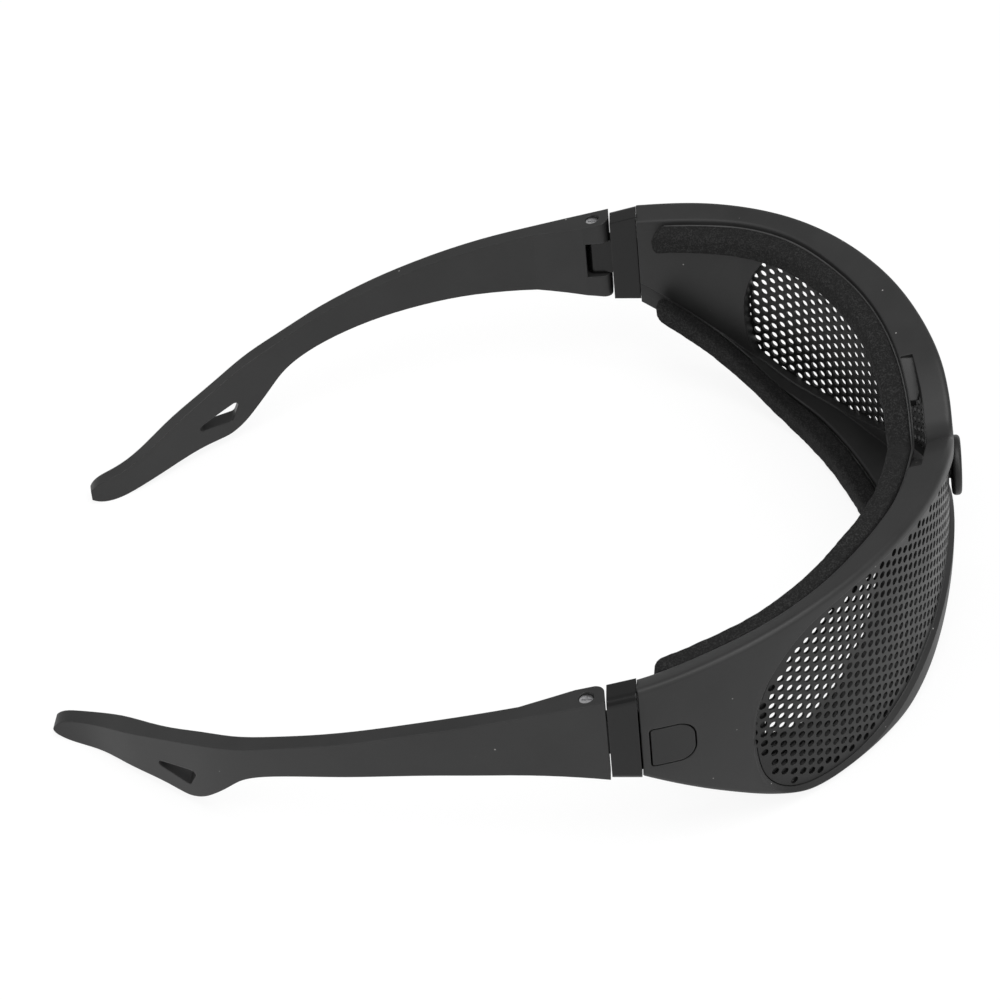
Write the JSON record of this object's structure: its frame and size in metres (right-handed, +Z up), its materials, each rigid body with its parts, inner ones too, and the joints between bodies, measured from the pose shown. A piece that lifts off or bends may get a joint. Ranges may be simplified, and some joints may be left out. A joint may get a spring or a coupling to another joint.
{
  "type": "mesh safety goggles",
  "caption": "Wrap-around safety goggles with a perforated steel shield, foam face seal and folding temples on push-button hinge blocks.",
  "frame": {"origin": "on the floor under the middle of the box, with the goggles standing open on the lower rim and the temple tips", "axes": "+X to the wearer's left, -Y the way the wearer looks, +Z up"},
  "size_m": [0.1508, 0.182, 0.048],
  "materials": {
    "frame_plastic": "charcoal, fine satin moulding texture",
    "temple_plastic": "charcoal, satin",
    "block_plastic": "black, half gloss with worn edges",
    "button_plastic": "black, satin",
    "shield_steel": "darkened perforated steel sheet",
    "washer_steel": "bright",
    "spring_steel": "bright",
    "screw_steel": "bright",
    "insert_brass": "plain",
    "foam": "open-cell foam, speckled, charcoal",
    "tape": "dull film"
  },
  "bodies": {
    "front": {"frame": "frame_plastic", "mesh_shield": "shield_steel", "shield_button": "button_plastic", "button_washer": "washer_steel", "upper_foam": "foam", "lower_foam": "foam", "upper_foam_tape": "tape", "lower_foam_tape": "tape", "left_hinge_block": "block_plastic", "right_hinge_block": "block_plastic", "left_button_spring": "spring_steel", "right_button_spring": "spring_steel"},
    "left_arm": {"left_temple": "temple_plastic", "left_hinge_screw": "screw_steel", "left_hinge_insert": "insert_brass"},
    "right_arm": {"right_temple": "temple_plastic", "right_hinge_screw": "screw_steel", "right_hinge_insert": "insert_brass"},
    "left_button": {"left_release_button": "button_plastic"},
    "right_button": {"right_release_button": "button_plastic"}
  },
  "joints": [
    {"name": "left_fold", "type": "hinge", "parent": "front", "child": "left_arm", "pos_m": [0.073, -0.0179, 0.03], "axis": [0, 0, 1], "range_deg": [0, 90]},
    {"name": "right_fold", "type": "hinge", "parent": "front", "child": "right_arm", "pos_m": [-0.073, -0.0179, 0.03], "axis": [0, 0, -1], "range_deg": [0, 75]},
    {"name": "left_button_press", "type": "slide", "parent": "front", "child": "left_button", "axis": [-0.9655, 0.2605, 0], "range_m": [0, 0.0012], "stiffness_N_per_m": 1200, "springref_m": -0.0006, "deforming": ["left_button_spring"]},
    {"name": "right_button_press", "type": "slide", "parent": "front", "child": "right_button", "axis": [0.9655, 0.2605, 0], "range_m": [0, 0.0012], "stiffness_N_per_m": 1200, "springref_m": -0.0006, "deforming": ["right_button_spring"]}
  ]
}
